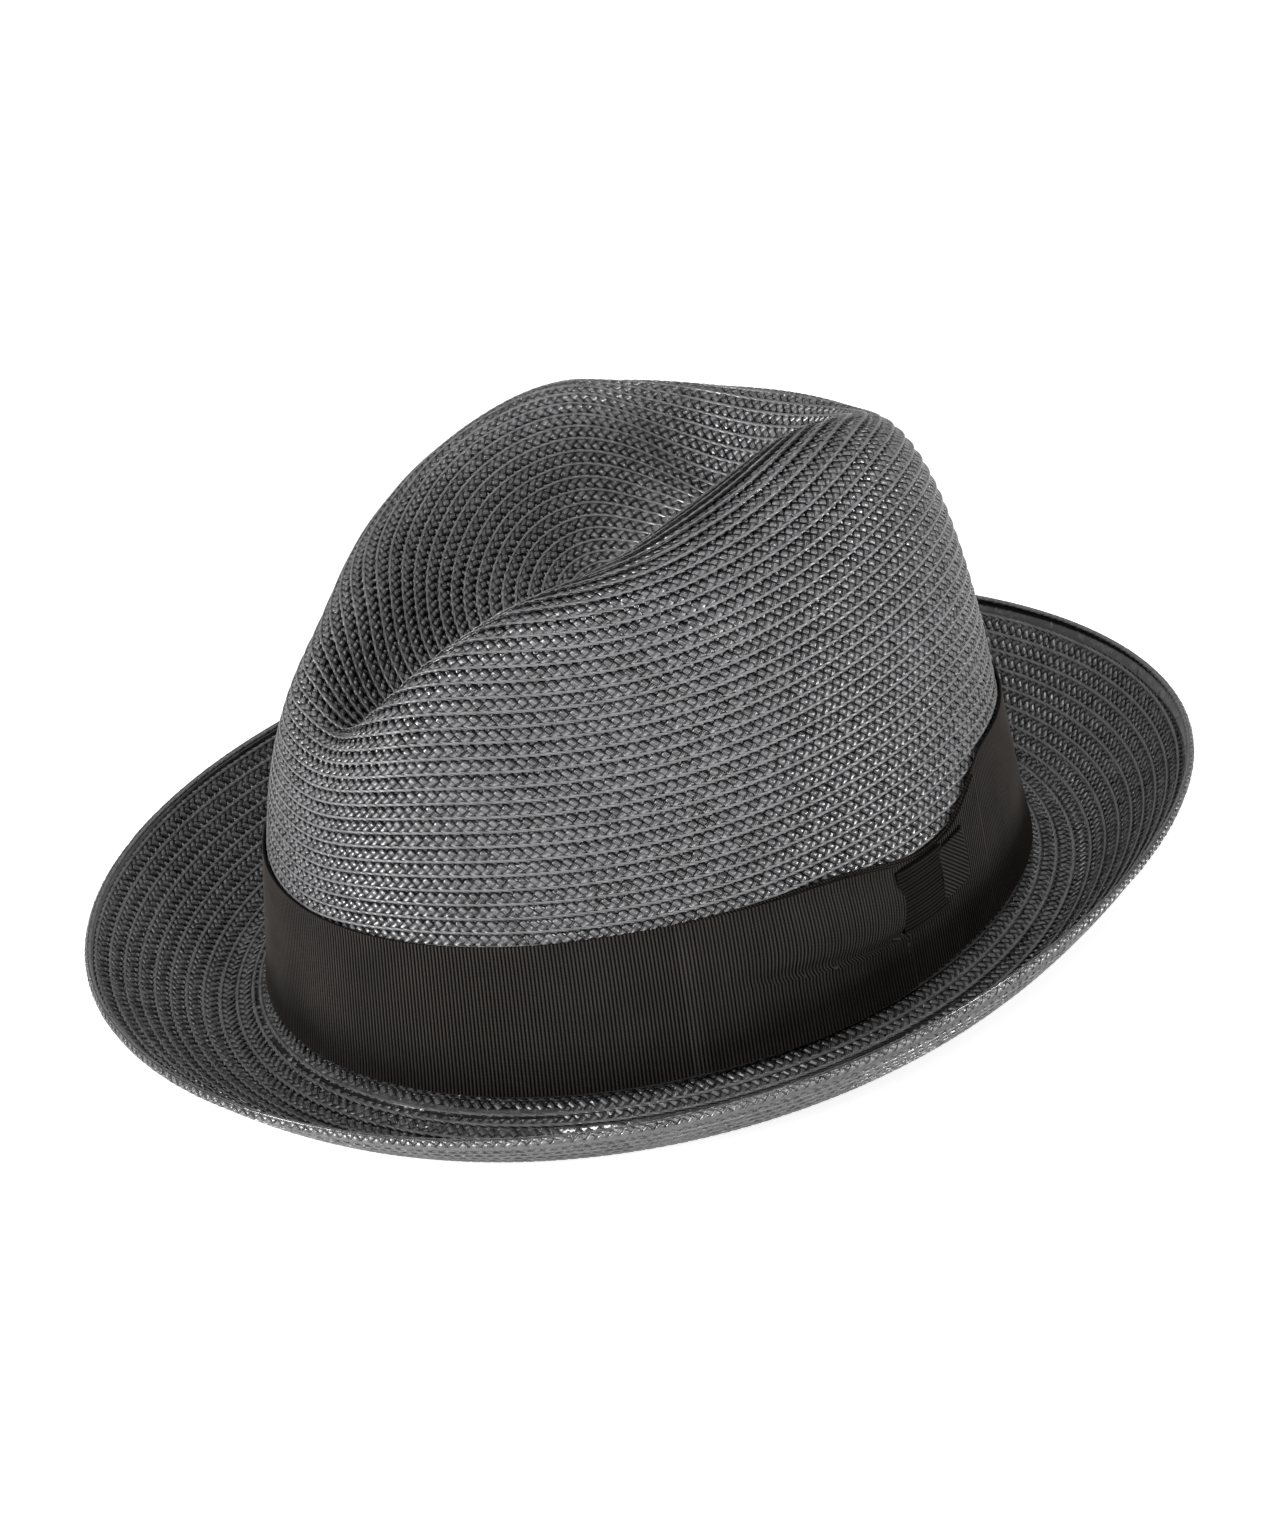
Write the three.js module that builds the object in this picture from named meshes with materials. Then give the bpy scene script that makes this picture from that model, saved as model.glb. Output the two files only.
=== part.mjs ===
// A sewn-braid fedora with a centre-dent crown, a curled brim, a ribbon band with a flat side bow,
// and the sweatband inside. Millimetres, +Z up. The front of the hat faces -Y and the wearer's left,
// which carries the bow, is +X. The origin is on the surface that the hat rests on, below the middle
// of the brim. Shapes are worked out around the middle of the head opening, which lies a little
// further forwards, and angles run from the front (0) over the wearer's left (PI / 2).
import * as THREE from 'three';
import { ParametricGeometry } from 'three/addons/geometries/ParametricGeometry.js';
import { mergeVertices } from 'three/addons/utils/BufferGeometryUtils.js';

// Head opening, measured outside the wall at the break line between crown and brim
const HALF_LENGTH = 104.6;
const HALF_WIDTH = 85.9;
const BREAK_HEIGHT = 7;
const OPENING_FORWARD = 2.903;

// Crown block: a tall dome, leaned in towards the top, then pressed down and pinched
const WALL_THICKNESS = 1.6;
const DOME_HEIGHT = 141.5;
const DOME_SQUARENESS = 3.56;
const BACKWARD_RISE = 23.7;
const END_RISE = 31;
const LEAN_SIDE = 13.2;
const LEAN_FRONT = 12.7;
const LEAN_BACK = 39.6;
const LEAN_POWER = 0.9;
const FRONT_NARROWING = 0.06;
const TIP_FORWARD = 4;

// Centre dent: a groove that runs out over the front and closes before the back
const DENT_DEPTH = 54.3;
const DENT_HALF_WIDTH = 40.8;
const DENT_FRONT_SHARE = 0.42;
const DENT_WIDENING = 85;
const DENT_FRONT = -107.4;
const DENT_FRONT_RAMP = 45;
const DENT_BACK = 80.2;
const DENT_BACK_RAMP = 43;
const DENT_OFFSET = -5.2;
const DENT_FADE_LOW = 25;
const DENT_FADE_HIGH = 100;

// The two front pinches
const PINCH_DEPTH = 9.2;
const PINCH_BACK = -61.7;
const PINCH_HEIGHT = 83.9;
const PINCH_LENGTH = 26;
const PINCH_TALL = 30;

// Brim
const BRIM_THICKNESS = 2;
const BRIM_REACH = 41.8;
const BRIM_CURL = 19.8;
const BRIM_DIP = 5;
const BRIM_DIP_AT = 0.3;
const BRIM_RISE_POWER = 1.4;
const REST_BAND = 0.6;
const EDGE_LENGTH = 3.6;
const EDGE_THICKNESS = 3.2;

// Ribbon band and bow, as distances out from the crown wall and heights above the break line
const RIBBON = 0.4;
const BAND_OUT = 0.3;
const BAND_LOW = 0.8;
const BAND_WIDTH = 37;
const BAND_BACK_LIFT = 2.2;
const BAND_BACK_RISE = 7.4;
const BOW_PULL = 5.2;
const BOW_PULL_REACH = 11;
const OVERLAP_OUT = 1.05;
const OVERLAP_REACH = [-24, 14];
const KNOT_ANGLE = THREE.MathUtils.degToRad(95.4);
const KNOT_OUT = 1.8;
const KNOT_THICKNESS = 2.3;
const KNOT_LENGTH = 15;
const KNOT_LOW = 16;
const KNOT_HIGH = 31.5;
const LOOP_OUT = 2.5;
const LOOP_FOLD = 1.1;
const LOOP_TONGUE = 3.5;
const FRONT_LOOP = { length: 53, low: 2, high: 33 };
const REAR_LOOP = { length: 12, low: 17.6, high: 31 };

// Sweatband inside the opening, as distances in from the outside of the crown wall
const SWEAT_IN = 2.3;
const SWEAT_THICKNESS = 0.7;
const SWEAT_HEIGHT = 31;
const REED_RADIUS = 1;
const REED_CLEARANCE = 0.3;
const REED_HEIGHT = 1.2;
const THREAD_RADIUS = 0.25;
const THREAD_HEIGHT = 4.6;
const STITCHES = 60;

// Fineness of the solids
const ANGLE_STEPS = 60;
const MERIDIAN_STEPS = 24;
const MERIDIAN_SAMPLES = 240;

const FULL_TURN = 2 * Math.PI;

function smooth(value) {
  return THREE.MathUtils.smoothstep(value, 0, 1);
}

// The depth of the centre dent over a place on the undented dome
function dentDepth(x, y) {
  const ramps = smooth((y - DENT_FRONT) / DENT_FRONT_RAMP) * smooth((DENT_BACK - y) / DENT_BACK_RAMP);
  const widening = smooth((y - DENT_FRONT) / DENT_WIDENING);
  const halfWidth = DENT_HALF_WIDTH * (DENT_FRONT_SHARE + (1 - DENT_FRONT_SHARE) * widening);
  return DENT_DEPTH * ramps * Math.exp(-(((x - DENT_OFFSET) / halfWidth) ** 2));
}

// How far the two front pinches push the crown's sides inwards at a place on the crown
function pinchDepth(side, x, y, z) {
  const away = ((y - PINCH_BACK) / PINCH_LENGTH) ** 2 + ((z - PINCH_HEIGHT) / PINCH_TALL) ** 2;
  return PINCH_DEPTH * Math.exp(-away) * smooth((side * x - 10) / 30);
}

// A point on the outside of the crown: fall 0 is the tip and PI / 2 is the break line
function crownPoint(angle, fall) {
  const sine = Math.sin(angle);
  const cosine = Math.cos(angle);
  const outwards = Math.sin(fall) ** (2 / DOME_SQUARENESS);
  const upwards = Math.max(Math.cos(fall), 0) ** (2 / DOME_SQUARENESS);
  const lean = upwards ** LEAN_POWER;
  const endLean = LEAN_SIDE + ((cosine > 0 ? LEAN_FRONT : LEAN_BACK) - LEAN_SIDE) * cosine ** 2;
  const narrowing = 1 - FRONT_NARROWING * cosine * upwards;
  let x = outwards * sine * (HALF_WIDTH - LEAN_SIDE * lean) * narrowing;
  const y = -outwards * cosine * (HALF_LENGTH - endLean * lean) - TIP_FORWARD * (1 - outwards);
  let z = (DOME_HEIGHT + BACKWARD_RISE * (y / 100) + END_RISE * (y / 100) ** 2) * upwards;
  z -= dentDepth(x, y) * smooth((z - DENT_FADE_LOW) / (DENT_FADE_HIGH - DENT_FADE_LOW));
  x += pinchDepth(-1, x, y, z) - pinchDepth(1, x, y, z);
  return new THREE.Vector3(x, y, z + BREAK_HEIGHT);
}

// Points at equal steps of length along one line from the tip down to the break line
function crownMeridian(angle) {
  const samples = [];
  for (let step = 0; step <= MERIDIAN_SAMPLES; step += 1) {
    samples.push(crownPoint(angle, (Math.PI / 2) * (step / MERIDIAN_SAMPLES)));
  }
  const lengths = [0];
  for (let step = 1; step <= MERIDIAN_SAMPLES; step += 1) {
    lengths.push(lengths[step - 1] + samples[step].distanceTo(samples[step - 1]));
  }
  const points = [];
  let after = 1;
  for (let step = 0; step <= MERIDIAN_STEPS; step += 1) {
    const wanted = (lengths[MERIDIAN_SAMPLES] * step) / MERIDIAN_STEPS;
    while (after < MERIDIAN_SAMPLES && lengths[after] < wanted) after += 1;
    const share = (wanted - lengths[after - 1]) / (lengths[after] - lengths[after - 1]);
    points.push(samples[after - 1].clone().lerp(samples[after], share));
  }
  return points;
}

// The horizontal direction that points away from the head opening
function outwardAt(angle) {
  return new THREE.Vector3(Math.sin(angle) / HALF_WIDTH, -Math.cos(angle) / HALF_LENGTH, 0).normalize();
}

// A point at a height above the break line, a distance out from the crown's outside wall
function wallPoint(angle, height, out) {
  let high = 0.3;
  let low = Math.PI / 2;
  for (let halving = 0; halving < 40; halving += 1) {
    const middle = (high + low) / 2;
    if (crownPoint(angle, middle).z - BREAK_HEIGHT > height) high = middle;
    else low = middle;
  }
  const foot = crownPoint(angle, (high + low) / 2);
  foot.z = BREAK_HEIGHT + height;
  return foot.addScaledVector(outwardAt(angle), out);
}

// Merges the seams of a geometry, drops collapsed triangles and turns its faces outwards
function closedSolid(geometry) {
  geometry.deleteAttribute('normal');
  geometry.deleteAttribute('uv');
  const merged = mergeVertices(geometry, 1e-3);
  const place = merged.getAttribute('position');
  const corners = Array.from(merged.getIndex().array);
  const kept = [];
  let volume = 0;
  const a = new THREE.Vector3();
  const b = new THREE.Vector3();
  const c = new THREE.Vector3();
  for (let i = 0; i < corners.length; i += 3) {
    const [p, q, r] = corners.slice(i, i + 3);
    if (p === q || q === r || r === p) continue;
    kept.push([p, q, r]);
    a.fromBufferAttribute(place, p);
    b.fromBufferAttribute(place, q);
    c.fromBufferAttribute(place, r);
    volume += a.dot(b.cross(c));
  }
  const outwards = kept.map(([p, q, r]) => (volume > 0 ? [p, q, r] : [p, r, q]));
  merged.setIndex(outwards.flat());
  merged.computeVertexNormals();
  return merged;
}

// Skins rows of points, each a closed loop. A closed run joins its last row to its first, and any
// other run ends in two rows that are each one repeated point.
function loftSolid(rows, closed) {
  const sides = rows[0].length;
  const steps = closed ? rows.length : rows.length - 1;
  const place = (u, v, target) => {
    const row = rows[Math.round(v * steps) % rows.length];
    target.copy(row[Math.round(u * sides) % sides]);
  };
  return closedSolid(new ParametricGeometry(place, sides, steps));
}

// A closed ring around the hat: sectionAt(angle) gives the same number of points at every angle
function ringSolid(sectionAt, angleSteps = ANGLE_STEPS) {
  const sections = [];
  for (let step = 0; step < angleSteps; step += 1) {
    sections.push(sectionAt((FULL_TURN * step) / angleSteps));
  }
  return loftSolid(sections, true);
}

// Turns section points [in from the wall, above the break line] into places at one angle
function insideSection(angle, points) {
  return points.map(([inwards, height]) => wallPoint(angle, height, -inwards));
}

// A place on the band given as a length along the wall from the knot, a distance out and a height
function bowPlace(along, out, height) {
  return wallPoint(KNOT_ANGLE + along / HALF_LENGTH, height, out);
}

// Points from one length along the wall to another, at steps short enough to bend around the crown
function straightRun(fromAlong, toAlong, out) {
  const steps = Math.max(1, Math.ceil(Math.abs(toAlong - fromAlong) / 5));
  const points = [];
  for (let step = 0; step <= steps; step += 1) {
    points.push(new THREE.Vector2(fromAlong + ((toAlong - fromAlong) * step) / steps, out));
  }
  return points;
}

// A ribbon that stands on edge along a path of [along, out], with heightsAt(along) as its two edges
function ribbonSolid(path, heightsAt) {
  const rows = path.map((point, index) => {
    const before = path[Math.max(index - 1, 0)];
    const after = path[Math.min(index + 1, path.length - 1)];
    const ahead = after.clone().sub(before).normalize();
    const side = new THREE.Vector2(-ahead.y, ahead.x).multiplyScalar(RIBBON / 2);
    const [low, high] = heightsAt(point.x);
    const heights = [0, 1 / 3, 2 / 3, 1].map((share) => low + (high - low) * share);
    const left = heights.map((height) => bowPlace(point.x + side.x, point.y + side.y, height));
    const right = heights.map((height) => bowPlace(point.x - side.x, point.y - side.y, height));
    return [...left, ...right.reverse()];
  });
  const middleOf = (row) => {
    const middle = new THREE.Vector3();
    for (const point of row) middle.addScaledVector(point, 1 / row.length);
    return row.map(() => middle);
  };
  return loftSolid([middleOf(rows[0]), ...rows, middleOf(rows[rows.length - 1])], false);
}

// A shell that follows the dented dome, open at the break line
function makeCrown() {
  const outside = [];
  for (let step = 0; step < ANGLE_STEPS; step += 1) {
    outside.push(crownMeridian((FULL_TURN * step) / ANGLE_STEPS));
  }
  const at = (step, row) => outside[(step + ANGLE_STEPS) % ANGLE_STEPS][row];
  const inwardAt = (step, row) => {
    const around = new THREE.Vector3().subVectors(at(step + 1, row), at(step - 1, row));
    const above = at(step, Math.max(row - 1, 0));
    const below = at(step, Math.min(row + 1, MERIDIAN_STEPS));
    return new THREE.Vector3().subVectors(below, above).cross(around).normalize().negate();
  };
  const tipInwards = new THREE.Vector3();
  for (let step = 0; step < ANGLE_STEPS; step += 1) tipInwards.add(inwardAt(step, 1));
  tipInwards.normalize();
  const inside = outside.map((line, step) => line.map((point, row) => {
    const direction = row === 0 ? tipInwards : inwardAt(step, row);
    return point.clone().addScaledVector(direction, WALL_THICKNESS);
  }));
  for (const line of [...outside, ...inside]) line[MERIDIAN_STEPS].z = BREAK_HEIGHT + 0.3;
  const ringsOf = (lines) => lines[0].map((point, row) => lines.map((line) => line[row]));
  return loftSolid([...ringsOf(outside), ...ringsOf(inside).reverse()], false);
}

function brimReach(angle) {
  return BRIM_REACH - 0.9 * Math.cos(angle) + 3.3 * Math.cos(2 * angle) - 2 * Math.cos(3 * angle);
}

function brimLip(angle) {
  return BRIM_CURL - 2.4 * Math.cos(angle) - 1.6 * Math.cos(2 * angle) + 0.8 * Math.cos(3 * angle);
}

// The brim's top surface, as [distance out, height]: share 0 is the break line and 1 the lip
function brimTop(angle, share) {
  const dip = share < BRIM_DIP_AT ? (1 - share / BRIM_DIP_AT) ** 2 : 0;
  const rise = share > BRIM_DIP_AT ? ((share - BRIM_DIP_AT) / (1 - BRIM_DIP_AT)) ** BRIM_RISE_POWER : 0;
  const height = BREAK_HEIGHT - BRIM_DIP * (1 - dip) + (brimLip(angle) + BRIM_DIP) * rise;
  return new THREE.Vector2(brimReach(angle) * share, height);
}

// The same surface moved down square to itself, held above the surface that the hat rests on
function brimBelow(angle, share, depth) {
  const ahead = brimTop(angle, share + 0.01);
  const along = ahead.sub(brimTop(angle, share - 0.01)).normalize();
  const point = brimTop(angle, share).addScaledVector(new THREE.Vector2(along.y, -along.x), depth);
  if (point.y < REST_BAND) point.y = 0;
  return point;
}

function brimPlace(angle, point) {
  const foot = new THREE.Vector3(HALF_WIDTH * Math.sin(angle), -HALF_LENGTH * Math.cos(angle), point.y);
  return foot.addScaledVector(outwardAt(angle), point.x);
}

// The share of the brim that is left inside the rolled edge
function plainBrimShare(angle) {
  return 1 - (EDGE_LENGTH + 0.5) / (brimReach(angle) * 1.45);
}

function makeBrim() {
  const shares = [0.06, 0.16, 0.25, 0.35, 0.46, 0.6, 0.76, 1];
  return ringSolid((angle) => {
    const limit = plainBrimShare(angle);
    const top = shares.map((share) => brimTop(angle, share * limit));
    const below = shares.map((share) => brimBelow(angle, share * limit, BRIM_THICKNESS)).reverse();
    const innerTop = new THREE.Vector2(-WALL_THICKNESS, BREAK_HEIGHT);
    const innerBelow = new THREE.Vector2(-WALL_THICKNESS, BREAK_HEIGHT - BRIM_THICKNESS);
    const section = [innerTop, new THREE.Vector2(0, BREAK_HEIGHT), ...top, ...below, innerBelow];
    return section.map((point) => brimPlace(angle, point));
  });
}

// The doubled last turn of the plait, a flat rope along the lip
function makeBrimEdge() {
  return ringSolid((angle) => {
    const along = brimTop(angle, 1).sub(brimTop(angle, 0.97)).normalize();
    const across = new THREE.Vector2(-along.y, along.x);
    const centre = brimTop(angle, 1).addScaledVector(along, -EDGE_LENGTH / 2);
    centre.addScaledVector(across, -BRIM_THICKNESS / 2);
    const section = [];
    for (let side = 0; side < 8; side += 1) {
      const turn = (FULL_TURN * (side + 0.5)) / 8;
      const point = centre.clone().addScaledVector(along, (EDGE_LENGTH / 2) * Math.cos(turn));
      section.push(brimPlace(angle, point.addScaledVector(across, (EDGE_THICKNESS / 2) * Math.sin(turn))));
    }
    return section;
  });
}

function degreesBetween(angle, other) {
  return THREE.MathUtils.radToDeg(Math.acos(Math.cos(angle - other)));
}

// How far a place is around the back of the head, from 0 at one angle from the front to 1 at the next
function backShare(angle, from, to) {
  return smooth((degreesBetween(angle, 0) - from) / (to - from));
}

function bandLow(angle) {
  return BAND_LOW + BAND_BACK_LIFT * backShare(angle, 78, 118);
}

// The ribbon stands higher at the back: it steps up just behind the bow, which pulls its upper edge
// down, and rises little by little on the other side
function bandTop(angle) {
  const pull = Math.exp(-((degreesBetween(angle, KNOT_ANGLE) / BOW_PULL_REACH) ** 2));
  const rise = Math.sin(angle) > 0 ? backShare(angle, 103, 118) : backShare(angle, 60, 150);
  return BAND_LOW + BAND_WIDTH + BAND_BACK_RISE * rise - BOW_PULL * pull;
}

function makeBand() {
  return ringSolid((angle) => {
    const low = bandLow(angle);
    const heights = [0, 1 / 3, 2 / 3, 1].map((share) => low + share * (bandTop(angle) - low));
    const outer = heights.map((height) => wallPoint(angle, height, BAND_OUT + RIBBON));
    const inner = heights.map((height) => wallPoint(angle, height, BAND_OUT)).reverse();
    return [...outer, ...inner];
  });
}

function makeBandOverlap() {
  const [from, to] = OVERLAP_REACH;
  const path = straightRun(from, to, OVERLAP_OUT + RIBBON / 2);
  return ribbonSolid(path, () => [BAND_LOW + BAND_BACK_LIFT, BAND_WIDTH - BOW_PULL - 0.6]);
}

// A ribbon folded back on itself: both layers run into the knot and the fold is away from it
function makeLoop(loop, direction) {
  const halfKnot = KNOT_LENGTH / 2;
  const radius = (LOOP_FOLD - RIBBON) / 2;
  const middle = LOOP_OUT + LOOP_FOLD / 2;
  const root = direction * (halfKnot - LOOP_TONGUE);
  const mouth = direction * (halfKnot + 0.3);
  const shoulder = direction * (halfKnot + 0.8);
  const turn = direction * (halfKnot + loop.length - radius);
  const layer = (out) => [...straightRun(root, mouth, out), ...straightRun(shoulder, turn, out)];
  const fold = [0.25, 0.5, 0.75].map((share) => new THREE.Vector2(
    turn + direction * radius * Math.sin(Math.PI * share),
    middle + radius * Math.cos(Math.PI * share),
  ));
  const path = [...layer(middle + radius), ...fold, ...layer(middle - radius).reverse()];
  const tongue = [KNOT_LOW + RIBBON + 0.4, KNOT_HIGH - RIBBON - 0.4];
  const full = [loop.low, loop.high];
  return ribbonSolid(path, (along) => (Math.abs(along) < halfKnot + 0.5 ? tongue : full));
}

// The short ribbon around the bow's middle, a flat ring that both loops run into
function makeKnot() {
  const cornersAt = (inset) => [
    [KNOT_OUT + inset, KNOT_LOW + inset],
    [KNOT_OUT + KNOT_THICKNESS - inset, KNOT_LOW + inset],
    [KNOT_OUT + KNOT_THICKNESS - inset, KNOT_HIGH - inset],
    [KNOT_OUT + inset, KNOT_HIGH - inset],
  ];
  const across = [-0.5, -0.25, 0, 0.25, 0.5].map((share) => share * KNOT_LENGTH);
  const inner = cornersAt(RIBBON);
  const rows = cornersAt(0).map(([out, height], corner) => {
    const [innerOut, innerHeight] = inner[corner];
    const outside = across.map((along) => bowPlace(along, out, height));
    const inside = across.map((along) => bowPlace(along, innerOut, innerHeight));
    return [...outside, ...inside.reverse()];
  });
  return loftSolid(rows, true);
}

// The distance in from the wall to the middle of the reed
const REED_IN = SWEAT_IN + SWEAT_THICKNESS + REED_CLEARANCE + REED_RADIUS;

// A strip that stands inside the opening and folds under the reed at its foot
function makeSweatband() {
  const inside = REED_RADIUS + REED_CLEARANCE;
  const outside = inside + SWEAT_THICKNESS;
  const wallSide = [SWEAT_HEIGHT, 20, 9].map((height) => [SWEAT_IN, height]);
  const headSide = [9, 20, SWEAT_HEIGHT].map((height) => [SWEAT_IN + SWEAT_THICKNESS, height]);
  const arc = (radius, from, to) => [0, 0.3, 0.6, 1].map((share) => {
    const turn = from + (to - from) * share;
    return [REED_IN + radius * Math.cos(turn), REED_HEIGHT + radius * Math.sin(turn)];
  });
  const points = [
    ...wallSide,
    ...arc(outside, Math.PI, FULL_TURN + 0.4),
    ...arc(inside, FULL_TURN + 0.4, Math.PI),
    ...headSide,
  ];
  return ringSolid((angle) => insideSection(angle, points));
}

function makeReed() {
  const points = [];
  for (let side = 0; side < 6; side += 1) {
    const turn = (FULL_TURN * side) / 6;
    points.push([REED_IN + REED_RADIUS * Math.cos(turn), REED_HEIGHT + REED_RADIUS * Math.sin(turn)]);
  }
  return ringSolid((angle) => insideSection(angle, points));
}

// One thread all the way round, which rises a little from the sweatband in every stitch
function makeReedStitching() {
  return ringSolid((angle) => {
    const rise = 0.25 * (1 + Math.cos(angle * STITCHES));
    const middle = SWEAT_IN + SWEAT_THICKNESS + 0.35 + THREAD_RADIUS + rise;
    const points = [];
    for (let side = 0; side < 4; side += 1) {
      const turn = (FULL_TURN * side) / 4;
      const height = THREAD_HEIGHT + THREAD_RADIUS * Math.sin(turn);
      points.push([middle + THREAD_RADIUS * Math.cos(turn), height]);
    }
    return insideSection(angle, points);
  }, 2 * STITCHES);
}

// The tab over the sweatband's two ends, at the back of the head
function makeSweatbandJoint() {
  const out = -(SWEAT_IN + SWEAT_THICKNESS + 0.45 + RIBBON / 2);
  const halfLength = 6;
  const back = (Math.PI - KNOT_ANGLE) * HALF_LENGTH;
  const path = straightRun(back - halfLength, back + halfLength, out);
  return ribbonSolid(path, () => [6.5, SWEAT_HEIGHT - 2]);
}

const braid = { color: 0x4a4a4b, roughness: 0.5, metalness: 0 };
const ribbon = { color: 0x131211, roughness: 0.75, metalness: 0 };
const lining = { color: 0x1b1a19, roughness: 0.6, metalness: 0 };

const pieces = [
  ['crown', makeCrown(), braid],
  ['brim', makeBrim(), braid],
  ['brim_edge', makeBrimEdge(), braid],
  ['hat_band', makeBand(), ribbon],
  ['band_overlap', makeBandOverlap(), ribbon],
  ['bow_front_loop', makeLoop(FRONT_LOOP, -1), ribbon],
  ['bow_rear_loop', makeLoop(REAR_LOOP, 1), ribbon],
  ['bow_knot', makeKnot(), ribbon],
  ['sweatband', makeSweatband(), lining],
  ['sweatband_reed', makeReed(), { color: 0xb9b4a6, roughness: 0.4, metalness: 0 }],
  ['reed_stitching', makeReedStitching(), lining],
  ['sweatband_joint', makeSweatbandJoint(), lining],
];

const hat = new THREE.Group();
hat.position.y = -OPENING_FORWARD;
for (const [name, geometry, look] of pieces) {
  const mesh = new THREE.Mesh(geometry, new THREE.MeshStandardMaterial(look));
  mesh.name = name;
  hat.add(mesh);
}

export default hat;
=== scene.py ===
# A sewn-braid fedora: one narrow plait sewn turn over turn from the crown's tip to the brim's edge,
# with a ribbed ribbon band, a flat side bow and an inner sweatband. Lengths are metres in the frame;
# the hat's own surfaces are worked out in millimetres around the middle of the head opening.
import bpy
import math
import numpy as np
from mathutils import Matrix, Vector


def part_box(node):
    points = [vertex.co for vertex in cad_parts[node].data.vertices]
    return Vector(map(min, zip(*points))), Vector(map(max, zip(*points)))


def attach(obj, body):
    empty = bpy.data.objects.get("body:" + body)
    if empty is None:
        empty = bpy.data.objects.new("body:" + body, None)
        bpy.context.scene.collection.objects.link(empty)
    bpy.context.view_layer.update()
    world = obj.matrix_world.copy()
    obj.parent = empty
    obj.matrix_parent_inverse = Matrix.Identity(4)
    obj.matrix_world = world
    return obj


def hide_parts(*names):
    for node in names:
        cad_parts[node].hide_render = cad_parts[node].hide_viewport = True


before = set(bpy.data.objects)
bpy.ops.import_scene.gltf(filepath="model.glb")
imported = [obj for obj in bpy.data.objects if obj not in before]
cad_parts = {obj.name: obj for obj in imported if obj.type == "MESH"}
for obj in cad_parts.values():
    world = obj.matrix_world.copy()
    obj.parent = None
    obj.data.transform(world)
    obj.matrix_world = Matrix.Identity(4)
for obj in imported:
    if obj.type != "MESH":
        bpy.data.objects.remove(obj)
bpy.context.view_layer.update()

MM = 0.001
TURN = 2 * math.pi

# ---------------------------------------------------------------- the hat block, as the frame has it

crown_low, crown_high = (np.array(corner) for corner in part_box("crown"))
OPENING = np.array([(crown_low[0] + crown_high[0]) / 2, (crown_low[1] + crown_high[1]) / 2, 0])
HALF_WIDTH = (crown_high[0] - crown_low[0]) / 2 / MM
HALF_LENGTH = (crown_high[1] - crown_low[1]) / 2 / MM
BREAK_HEIGHT = crown_low[2] / MM - 0.3

DOME_HEIGHT = 141.5
DOME_SQUARENESS = 3.56
BACKWARD_RISE = 23.7
END_RISE = 31
LEAN_SIDE, LEAN_FRONT, LEAN_BACK = 13.2, 12.7, 39.6
LEAN_POWER = 0.9
FRONT_NARROWING = 0.06
TIP_FORWARD = 4
DENT_DEPTH, DENT_HALF_WIDTH, DENT_OFFSET = 54.3, 40.8, -5.2
DENT_FRONT, DENT_FRONT_RAMP, DENT_FRONT_SHARE, DENT_WIDENING = -107.4, 45, 0.42, 85
DENT_BACK, DENT_BACK_RAMP = 80.2, 43
DENT_FADE_LOW, DENT_FADE_HIGH = 25, 100
PINCH_DEPTH, PINCH_BACK, PINCH_HEIGHT, PINCH_LENGTH, PINCH_TALL = 9.2, -61.7, 83.9, 26, 30
PINCH_FROM_MIDDLE, PINCH_RAMP = 10, 30
BRIM_REACH, BRIM_CURL, BRIM_DIP, BRIM_DIP_AT, BRIM_RISE_POWER = 41.8, 19.8, 5, 0.3, 1.4
# How the brim's reach and the lip's height change once, twice and three times round the hat
REACH_WAVES = (-0.9, 3.3, -2)
LIP_WAVES = (-2.4, -1.6, 0.8)

CROWN_TURNS = 54
BRIM_TURNS = 12
CELL = 2.52
BRIM_DEPTH = 1.5
UNDERSIDE_LOW = 0.5
WALL_BELOW_BREAK = 1.5
LIP_INSET = 0.6
# Section of the strip that the folded turn covers, from below the lip to above it: distance in and
# height, from a point LIP_INSET inside the lip and halfway through the brim
LIP_SECTION = ((1.9, -0.95), (0.6, -1.0), (-0.4, -0.75), (-0.8, 0), (-0.6, 0.7), (0, 1.0), (0.6, 1.05))
ANGLES = 720
FINE = 6
WALL_HEIGHT, TURNS_UP_WALL = 65, 26


def smooth(value):
    share = np.clip(value, 0, 1)
    return share * share * (3 - 2 * share)


def dent_depth(x, y):
    ramps = smooth((y - DENT_FRONT) / DENT_FRONT_RAMP) * smooth((DENT_BACK - y) / DENT_BACK_RAMP)
    widening = smooth((y - DENT_FRONT) / DENT_WIDENING)
    half_width = DENT_HALF_WIDTH * (DENT_FRONT_SHARE + (1 - DENT_FRONT_SHARE) * widening)
    return DENT_DEPTH * ramps * np.exp(-((x - DENT_OFFSET) / half_width) ** 2)


def pinch_depth(side, x, y, z):
    away = ((y - PINCH_BACK) / PINCH_LENGTH) ** 2 + ((z - PINCH_HEIGHT) / PINCH_TALL) ** 2
    return PINCH_DEPTH * np.exp(-away) * smooth((side * x - PINCH_FROM_MIDDLE) / PINCH_RAMP)


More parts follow.
